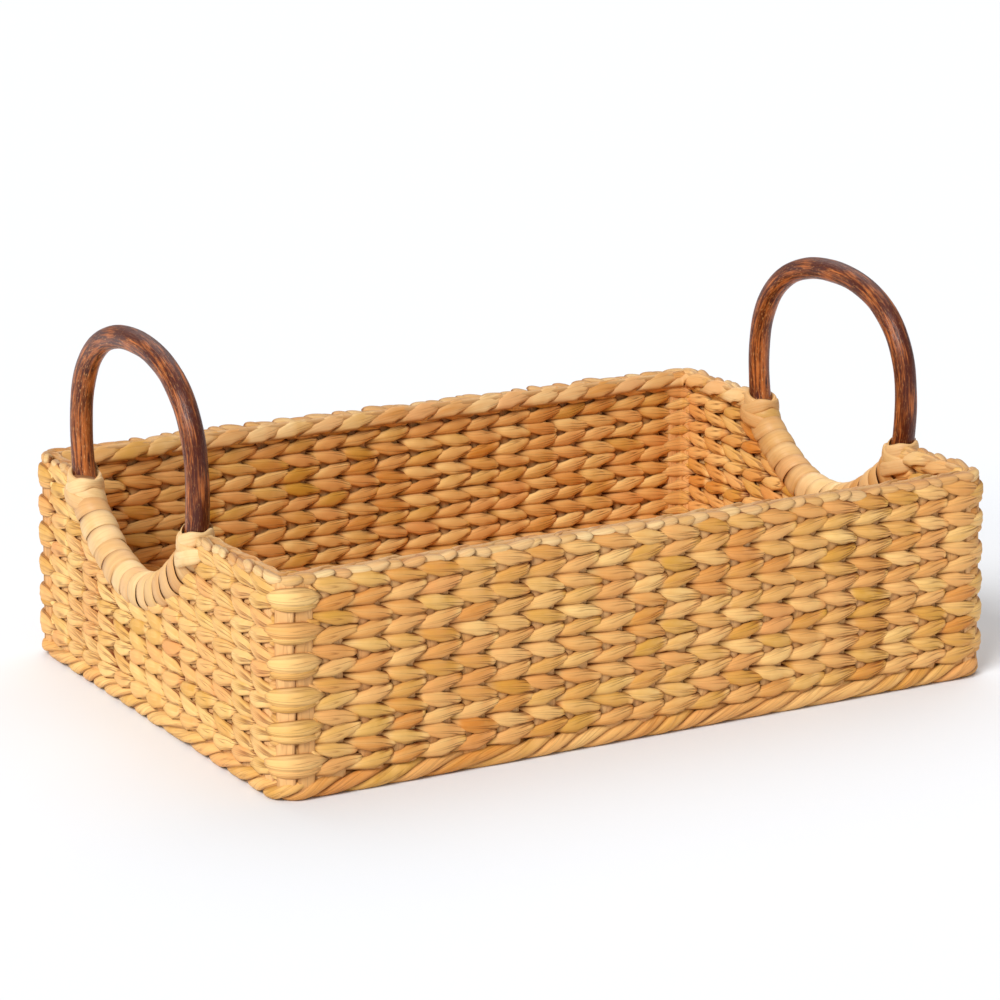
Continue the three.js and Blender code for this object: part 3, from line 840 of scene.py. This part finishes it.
def stake(profile, side_at_near, side_at_far, lengthwise, tone, seed):
    """One stake from its side view; its sideways place runs from one value to the other."""
    draw = np.random.default_rng(seed)
    share = np.clip((profile[:, 0] - profile[0, 0]) / (profile[-1, 0] - profile[0, 0]), 0, 1)
    wave = 0.5 * np.sin(np.arange(len(profile)) * 0.7 + draw.uniform(0, 6))
    side = side_at_near + (side_at_far - side_at_near) * share + wave
    run = unit(np.gradient(profile, axis=0))
    zero = np.zeros(len(profile))
    order = [0, 1, 2] if lengthwise else [1, 0, 2]
    line = np.stack([profile[:, 0], side, profile[:, 1]], 1)[:, order]
    wide_way = np.stack([zero, zero + 1, zero], 1)[:, order]
    thick_way = np.stack([-run[:, 1], zero, run[:, 0]], 1)[:, order]
    look = {"across": 22.0, "tone": tone, "hue": draw.uniform(0.3, 0.7)}
    # Painted shade: the whole stake is painted a little darker, as it sits back in the windows
    # between the weavers.
    look.update({"painted_shade": 0.2, "fold": 0.4})
    return tube(line, wide_way, thick_way, STAKE_WIDE, STAKE_THICK, 12, 3.0, look)


stake_draw = np.random.default_rng(8)
stake_places = wall_point(stake_arcs[:-1], 0.0, MID_HEIGHT)
OUT_X = HALF_LENGTH - WALL / 2 + STAKE_DEPTH
OUT_Y = HALF_WIDTH - WALL / 2 + STAKE_DEPTH
for pair in range(LONG_STAKES // 2):
    grids = []
    for i in (2 * pair, 2 * pair + 1):
        front = stake_places[CORNERS[0] + 1 + i, 0]
        behind = stake_places[CORNERS[3] - 1 - i, 0]
        profile = bent_profile(OUT_Y, CROSS_LEVEL, STAKE_TOP, STAKE_TOP)
        grids.append(stake(profile, front, behind, False, stake_draw.uniform(0.3, 0.8), 300 + i))
    node = f"stake_pair_{pair + 1:02d}"
    piece(f"cross_stakes_{pair + 1:02d}", grids, stake_straw, [node])
for j in range(SHORT_STAKES):
    right = stake_places[CORNERS[1] + 1 + j, 1]
    left = stake_places[STAKES - 1 - j, 1]
    left_top = float(dip_edge(left, HOOP_MIDDLES["left"]))
    right_top = float(dip_edge(right, HOOP_MIDDLES["right"]))
    profile = bent_profile(OUT_X, LONG_LEVEL, left_top, right_top)
    grids = [stake(profile, left, right, True, stake_draw.uniform(0.3, 0.8), 340 + j)]
    node = f"stake_long_{j + 1:02d}"
    piece(f"long_stake_strip_{j + 1:02d}", grids, stake_straw, [node])

CORNER_NAMES = ["front_left", "front_right", "back_right", "back_left"]
STRIP_FOOT = 5
STRIP_THICK = 1.4
STRIP_SIDES = 16
INNER_STRIP_TOP = RIM_TOP - 4
# Place along the wall from the corner, depth and half the width of each strip.
STRIPS = [(-12.9, 1.8, 3.8), (-4.2, 2.7, 4.9), (4.6, 2.7, 4.9), (12.9, 1.2, 3.4)]
STRIPS += [(-6.3, -3.6, 3.4), (0.3, -3.6, 3.4), (6.9, -3.6, 3.4)]
strip_across, _ = rounded(STRIP_SIDES, 3.6)
for name, c in zip(CORNER_NAMES, CORNERS):
    grids = []
    for k, (offset, depth, wide) in enumerate(STRIPS):
        heights = np.linspace(STRIP_FOOT, STAKE_TOP if depth > 0 else INNER_STRIP_TOP, 40)
        arc = stake_arcs[c] + offset + 0.3 * np.sin(heights * 0.11 + k * 2)
        line = wall_point(arc, depth, heights)
        wide_way = unit(wall_point(arc + 0.5, depth, heights) - line)
        thick_way = np.cross(wide_way, [0.0, 0.0, 1.0])
        look = {"tone": stake_draw.uniform(0.3, 0.8), "hue": stake_draw.uniform(0.3, 0.6)}
        # Painted shade: each strip is painted a little darker all over, and most along its sides.
        look.update({"painted_shade": 0.12 + 0.5 * np.abs(strip_across) ** 8, "fold": 0.5, "across": 24.0})
        grids.append(tube(line, wide_way, thick_way, wide, STRIP_THICK, STRIP_SIDES, 3.6, look))
    piece(f"corner_strips_{name}", grids, stake_straw, [f"corner_stake_{name}"])
print("stakes:", LONG_STAKES + SHORT_STAKES, "and", len(CORNERS), "corner bundles")

# %% [markdown]
# ## Ropes round the foot and the rim
#
# The foot is a rope of three strands, each turn rising to the right. The rim has two rows: small
# pale beads along the edge, where the ends of the stakes are plaited off, each lying over the
# next, and a fatter rope of leaves just inside it.

# %% Ropes
FOOT_STRANDS = 3
FOOT_TURNS = 23
FOOT_RINGS = 24 * FOOT_TURNS
FOOT_R = 2.9
STRAND_DEEP = 2.9
STRAND_WIDE = 3.7
LEFT_FADE = 30
DRAWS = 4000


def foot_rope(seed, sides=14):
    """Strands twisted round a line along the foot, as grids; the twist rises to the right."""
    draw = np.random.default_rng(seed)
    across, up = rounded(sides, 2.3)
    arcs = np.arange(FOOT_RINGS) * ROUND / FOOT_RINGS
    round_angle = 2 * np.pi * arcs / ROUND
    uneven = 0.05 * np.sin(19 * round_angle) + 0.14 * np.sin(7 * round_angle)
    at_left = smoothstep((arcs - KNOT_ARCS[7]) / LEFT_FADE) * smoothstep((ROUND - arcs) / LEFT_FADE)
    grids = []
    for k in range(FOOT_STRANDS):
        turn = arcs / (ROUND / FOOT_TURNS) + k / FOOT_STRANDS + uneven
        phi = 2 * np.pi * turn[:, None]
        which = np.floor(turn - 0.5).astype(int)
        tones = np.clip(draw.normal(0.5, 0.2, DRAWS), 0, 1)
        hues = np.clip(draw.normal(0.5, 0.17, DRAWS), 0, 1)
        sizes = draw.uniform(0.92, 1.06, DRAWS)
        share = smoothstep((turn - 0.5 - which - 0.8) / 0.2)
        size = blended(sizes, which, share)[:, None]
        out = FOOT_R + STRAND_DEEP * size * across[None, :]
        over = STRAND_WIDE * size * up[None, :]
        depth = out * np.cos(phi) - over * np.sin(phi)
        rise = out * np.sin(phi) + over * np.cos(phi)
        height = np.maximum(COURSE_Z / 2 + rise, 0.0)
        reach = np.hypot(depth, rise) / (FOOT_R + STRAND_DEEP)
        # Painted light: the rope is painted paler along the left end too.
        tone = blended(tones, which, share) * (1 - LEFT_PAINTED_LIGHT * at_left)
        # Painted shade: each strand is painted darker where it turns in towards the middle of the
        # rope.
        strand = {
            "points": wall_point(arcs[:, None] + 0 * depth, depth, height),
            "closed": True,
            "along": arcs * 1.05,
            "across": 18.0,
            "tone": tone[:, None],
            "hue": blended(hues, which, share)[:, None],
            "painted_shade": smoothstep((0.93 - reach) / 0.42),
            "fold": 0.5,
        }
        grids.append(strand)
    return grids


piece("foot_rope", foot_rope(41), weaver_straw, ["border_rope"])

RIM_SPANS = dip_stakes(RIM_MIDDLE)
INNER_STEP = 20.4
INNER_HALF = 4.6
INNER_REACH = 3.9
INNER_DEPTH = -3.3
INNER_HEIGHT = RIM_TOP - 5.9
INNER_TURN = -0.5
CORE_HEIGHT = RIM_TOP - 3.3
BEAD_STEP = 9.9
BEAD_LONG = 16.5
BEAD_TALL = 3.2
BEAD_THICK = 2.5
BEAD_DEPTH = 1.7
BEAD_HEIGHT = RIM_TOP - 3.6


def rim_beads(start, stop, seed):
    """The row of small pale beads along the edge, each with its right end over the next."""
    draw = np.random.default_rng(seed)
    first, last = arc_of(start), arc_of(stop)
    count = int(round((last - first) / BEAD_STEP))
    u = np.linspace(-0.98, 0.98, 17)
    taper = np.where(u < 0, (1 - np.abs(u) ** 2.0) ** 0.8, (1 - np.abs(u) ** 2.8) ** 0.55)
    grids = []
    for i in range(count):
        middle = first + (last - first) * (i + 0.5 + draw.uniform(-0.22, 0.22)) / count
        along = middle + BEAD_LONG / 2 * draw.uniform(0.8, 1.3) * u
        lift = BEAD_HEIGHT + draw.uniform(-0.6, 0.4) + draw.uniform(-0.2, 2.4) * u
        depth = BEAD_DEPTH + draw.uniform(-0.3, 0.3) + 1.3 * np.sin(np.pi / 2 * u)
        tall = BEAD_TALL * draw.uniform(0.8, 1.15)
        grid = pillow(wall_point, (along, depth, lift), taper, tall, BEAD_THICK, draw, 12)
        # Painted shade at the bead's ends and edges, a little weaker than on the corner leaves.
        grid["painted_shade"] = 0.85 * grid["painted_shade"]
        grids.append({**grid, "along": along, "tone": draw.uniform(0.1, 0.8)})
    return grids


def rim_core(start, stop):
    """The stalk that the rim is plaited round, along the wire."""
    arcs = np.linspace(arc_of(start), arc_of(stop), 480)
    line = wall_point(arcs, INNER_DEPTH, CORE_HEIGHT)
    run = unit(wall_point(arcs + 0.3, INNER_DEPTH, CORE_HEIGHT) - line)
    upright = np.broadcast_to([0.0, 0.0, 1.0], run.shape)
    # The core is painted darker all over, as painted shade inside the rim.
    look = {"across": 14.0, "tone": 0.6, "hue": 0.5, "painted_shade": 0.35, "fold": 0.4}
    return tube(line, upright, np.cross(run, upright), 2.1, 2.3, 12, 2.2, look)


def rim_row(start, stop, seed):
    """Two weavers along the rim between two places in stakes, turned to face up and in."""
    first, last = arc_of(start), arc_of(stop)
    count = int(round((last - first) / INNER_STEP))
    cosine, sine = math.cos(INNER_TURN), math.sin(INNER_TURN)
    values = leaf_values(count + 4, seed, 1.2)

    def place(s, depth, up):
        out = depth * cosine - up * sine
        rise = depth * sine + up * cosine
        arc = first + (last - first) * s / count
        return wall_point(arc, INNER_DEPTH + out, INNER_HEIGHT + rise)

    grids = []
    for parity, leaves in enumerate(values):
        leaves["tone"] = 0.3 + 0.7 * leaves["tone"]
        grid = weaver(place, 0, count, False, parity, -1, INNER_HALF, INNER_REACH, leaves, 12, 16)
        # Painted shade in the rim row, at less than half the strength used in the wall.
        grid["painted_shade"] = 0.4 * grid["painted_shade"]
        grids.append(grid)
    return grids


rim_ends = {"front": (RIM_SPANS[3] - STAKES, RIM_SPANS[0]), "back": (RIM_SPANS[1], RIM_SPANS[2])}
for side, (start, stop) in rim_ends.items():
    grids = rim_beads(start, stop, 51) + rim_row(start, stop, 53) + [rim_core(start, stop)]
    piece(f"rim_rows_{side}", grids, rim_straw, [f"rim_chain_{side}"])
print("ropes: foot of", FOOT_TURNS, "turns")

# %% [markdown]
# ## The base
#
# The base is twined too: rows run along the basket, over and under the crosswise stakes.

# %% Base
BASE_LEVEL = 5.6
BASE_REACH = 5.2
BASE_ROWS = 28
BASE_EDGE = HALF_WIDTH - WALL + 2
BASE_PAST = 0.05
row_half = BASE_EDGE / BASE_ROWS
cross_places = stake_places[CORNERS[0] + 1 : CORNERS[0] + LONG_STAKES + 1, 0]
cross_step = (cross_places[-1] - cross_places[0]) / (LONG_STAKES - 1)
grids = []
for row in range(BASE_ROWS):
    middle = -BASE_EDGE + (2 * row + 1) * row_half
    lean = 1 if row % 2 else -1

    def place(s, depth, up, middle=middle):
        along = (s - (LONG_STAKES + 1) / 2) * cross_step
        return np.stack([along, middle + up, BASE_LEVEL + depth], -1)

    for parity, leaves in enumerate(leaf_values(LONG_STAKES + 4, 700 + row)):
        ends = (-BASE_PAST, LONG_STAKES + 1 + BASE_PAST)
        grid = weaver(place, *ends, False, parity, lean, row_half, BASE_REACH, leaves, 10, 8)
        grids.append(grid)
piece("base_mat", grids, weaver_straw, ["base_weave_under", "base_weave_over"])
print("base rows:", BASE_ROWS)

# %% [markdown]
# ## The hoops and what binds them
#
# Each hoop is a smooth round cane. A flat ribbon is wound round its lower part, each turn lying
# partly over the next, and it reaches down into the wall between the strands. Where the legs
# leave the rim, fat strands hug them from both sides.

# %% Hoops and windings
CANE_SIDES = 36
CANE_RINGS = 420
WIND_REACH = 86.0
WIND_TURNS = 16
RIBBON_HALF = 6.5
RIBBON_THICK = 0.5
RIBBON_TILT = 0.6
RIBBON_R = 7.35
RIBBON_BULGE = 0.85
RIBBON_TONE = {"left": 0.35, "right": 0.75}
PALE_TURNS = (0.0, 0.1)
INTO_WALL = 4.5
STRAND_TONE = {"left": 0.0, "right": 0.25}
# Height from the rim's middle, tilt and half the length of each strand round a leg.
LEG_STRANDS = ((-11.0, 0.26, 13.5), (-5.6, -0.30, 11.5), (-1.6, 0.30, 8.6))


def hoop_frame(arc, side):
    """Point, direction, and outward direction in the hoop's plane, at distances along the hoop."""
    y, z = hoop_at(arc)
    y2, z2 = hoop_at(arc + 0.5)
    y1, z1 = hoop_at(arc - 0.5)
    run = unit(np.stack([0 * y, y2 - y1, z2 - z1], -1))
    outward = np.stack([0 * y, run[..., 2], -run[..., 1]], -1)
    x = HOOP_X if side == "right" else -HOOP_X
    return np.stack([x + 0 * y, y + HOOP_MIDDLES[side], z], -1), run, outward


def hoop_grid(side):
    """The cane as one closed ring."""
    arcs = np.arange(CANE_RINGS) * HOOP_ROUND / CANE_RINGS
    line, _, outward = hoop_frame(arcs, side)
    size = CANE_R * (1 + 0.012 * np.sin(arcs * 0.09 + 1.0) + 0.008 * np.sin(arcs * 0.23))
    outside = 0.5 + 0.5 * np.sin(np.arange(CANE_SIDES) * 2 * np.pi / CANE_SIDES)
    look = {"across": 39.0, "tone": outside, "closed": True}
    x_way = np.broadcast_to([1.0, 0.0, 0.0], line.shape)
    return tube(line, x_way, outward, size, size, CANE_SIDES, 2.0, look)


def winding_grid(side, seed):
    """The ribbon as one strip wound round the cane, its far edge lying over the next turn."""
    draw = np.random.default_rng(seed)
    steps = 40
    turn = np.arange(WIND_TURNS * steps + 1) / steps
    angle = 2 * np.pi * turn
    tones = np.clip(draw.normal(RIBBON_TONE[side], 0.25, WIND_TURNS + 3), 0, 1)
    tones[WIND_TURNS // 2 : WIND_TURNS // 2 + 2] = PALE_TURNS
    hues = np.clip(draw.normal(0.5, 0.12, WIND_TURNS + 3), 0, 1)
    widths = draw.uniform(0.9, 1.1, WIND_TURNS + 3)
    slants = draw.uniform(-1.5, 1.5, WIND_TURNS + 3)
    swells = draw.uniform(-0.25, 0.35, WIND_TURNS + 3)
    which = np.floor(turn - 0.25).astype(int) + 1
    share = smoothstep((turn - 0.25 - (which - 1) - 0.9) / 0.1)
    tone, hue, width, slant, swell = (
        blended(v, which, share) for v in (tones, hues, widths, slants, swells)
    )
    arc = WIND_REACH - 2 * WIND_REACH * turn / WIND_TURNS + slant * np.cos(angle)
    line, run, outward = hoop_frame(arc, side)
    x_way = np.broadcast_to([1.0, 0.0, 0.0], line.shape)
    way = np.cos(angle)[:, None] * x_way + np.sin(angle)[:, None] * outward
    radius = RIBBON_R + swell + INTO_WALL * np.clip(np.sin(angle), 0, 1) ** 2
    across, up = rounded(16, 3.0)
    wide = (width * RIBBON_HALF)[:, None] * across[None, :]
    high = RIBBON_THICK * up[None, :] + RIBBON_TILT * across[None, :]
    high = high + RIBBON_BULGE * (1 - across[None, :] ** 2)
    points = (
        line[:, None, :]
        - wide[..., None] * run[:, None, :]
        + (radius[:, None] + high)[..., None] * way[:, None, :]
    )
    # Painted shadow: the ribbon is painted dark along one edge, where the neighbouring turn lies
    # against it.
    edge = smoothstep((-across[None, :] - 0.40) / 0.32)
    return {
        "points": points,
        "closed": False,
        "along": angle * RIBBON_R,
        "across": STALK_ROUND,
        "tone": tone[:, None],
        "hue": hue[:, None],
        "painted_shade": 0.85 * edge,
        "fold": 0.3,
    }


def lashing_grids(side, end, seed):
    """Three fat strands round a leg of a hoop where it leaves the rim, tilted by turns."""
    draw = np.random.default_rng(seed)
    rising = slice(0, 7 * PER_SPAN)
    leg = float(np.interp(RIM_MIDDLE, hoop_line[rising, 1], hoop_arcs[rising])) * end
    (middle,), _, _ = hoop_frame(np.array([leg]), side)
    angle = np.arange(56) * 2 * np.pi / 56
    swell = np.abs(np.sin(angle))
    grids = []
    for k, (rise, tilt, long) in enumerate(LEG_STRANDS):
        ring = np.stack([(8.9 - 0.5 * k) * np.sin(angle), long * np.cos(angle), 0 * angle], 1)
        ring[:, 2] = tilt * ring[:, 1] * end + 0.7 * np.sin(2 * angle + k)
        out = unit(ring * [1, 0.3, 0])
        run = unit(np.roll(ring, -1, 0) - np.roll(ring, 1, 0))
        up_way = unit(np.cross(out, run))
        fat = 0.5 + 0.5 * smoothstep(swell * 1.3)
        # Painted shade, slight, over each whole strand.
        look = {
            "across": 18.0,
            "tone": draw.uniform(0.1, 0.6) + STRAND_TONE[side],
            "hue": draw.uniform(0.4, 0.6),
            "painted_shade": 0.1,
            "fold": 0.4,
            "closed": True,
        }
        line = middle + [0, 0, rise] + ring
        grids.append(tube(line, out, up_way, 1.6 * fat, 4.3 * fat, 16, 2.6, look))
    return grids


for n, side in enumerate(("left", "right")):
    piece(f"bent_cane_{side}", [hoop_grid(side)], cane, [f"hoop_{side}"])
    ribbon = [winding_grid(side, 61 + n)]
    piece(f"wound_ribbon_{side}", ribbon, ribbon_straw, [f"winding_{side}"])
    for m, (name, end) in enumerate((("front", -1), ("back", 1))):
        grids = lashing_grids(side, end, 71 + 2 * n + m)
        piece(f"leg_strands_{side}_{name}", grids, rim_straw, [f"lashing_{side}_{name}"])
bpy.data.objects["wire_frame"].material_slots[0].material = wire_metal
print("hoops: 2, ribbon turns:", WIND_TURNS)

# %% [markdown]
# ## Floor and light
#
# White paper and a white surround, with a soft window from behind on the left and a broad lamp
# above. The paper is a little cool, as straw throws warm light on it. The surround is only fully
# white where the camera looks straight at it. As light it is weak, so that the creases stay dark.

# %% Floor and light
FLOOR = 12.0
PAPER = (0.785, 0.80, 0.825, 1.0)
AMBIENT = 0.38
floor_mesh = bpy.data.meshes.new("floor")
ways = ((-1, -1), (1, -1), (1, 1), (-1, 1))
floor_mesh.from_pydata([(x * FLOOR, y * FLOOR, 0) for x, y in ways], [], [(0, 1, 2, 3)])
floor = add_object("floor", floor_mesh)
paper, paper_shader, _ = new_material("white paper", 0.9)
paper_shader.inputs["Base Color"].default_value = PAPER
paper_shader.inputs["Specular IOR Level"].default_value = 0.0
floor_mesh.materials.append(paper)

world = bpy.data.worlds.new("studio")
bpy.context.scene.world = world
world.use_nodes = True
LAMPS = {
    "window": {"way": (0.68, 0.37, -0.65), "power": 2.95, "softness": 28},
    "top": {"way": (-0.30, -0.50, -0.80), "power": 1.1, "softness": 60},
}
sky = Wire(world.node_tree, None)
seen = sky.node("ShaderNodeLightPath", "Is Camera Ray")
strength = seen * (1.0 - AMBIENT) + AMBIENT
surround = world.node_tree.nodes["Background"]
world.node_tree.links.new(strength.socket, surround.inputs["Strength"])
surround.inputs["Color"].default_value = (1, 1, 1, 1)
for name, form in LAMPS.items():
    lamp = bpy.data.lights.new(name, "SUN")
    lamp.energy = form["power"]
    lamp.angle = math.radians(form["softness"])
    holder = add_object(name, lamp)
    holder.rotation_mode = "QUATERNION"
    holder.rotation_quaternion = Vector(form["way"]).to_track_quat("-Z", "Y")
bpy.context.scene.view_settings.view_transform = "Standard"
print("lamps:", ", ".join(LAMPS))
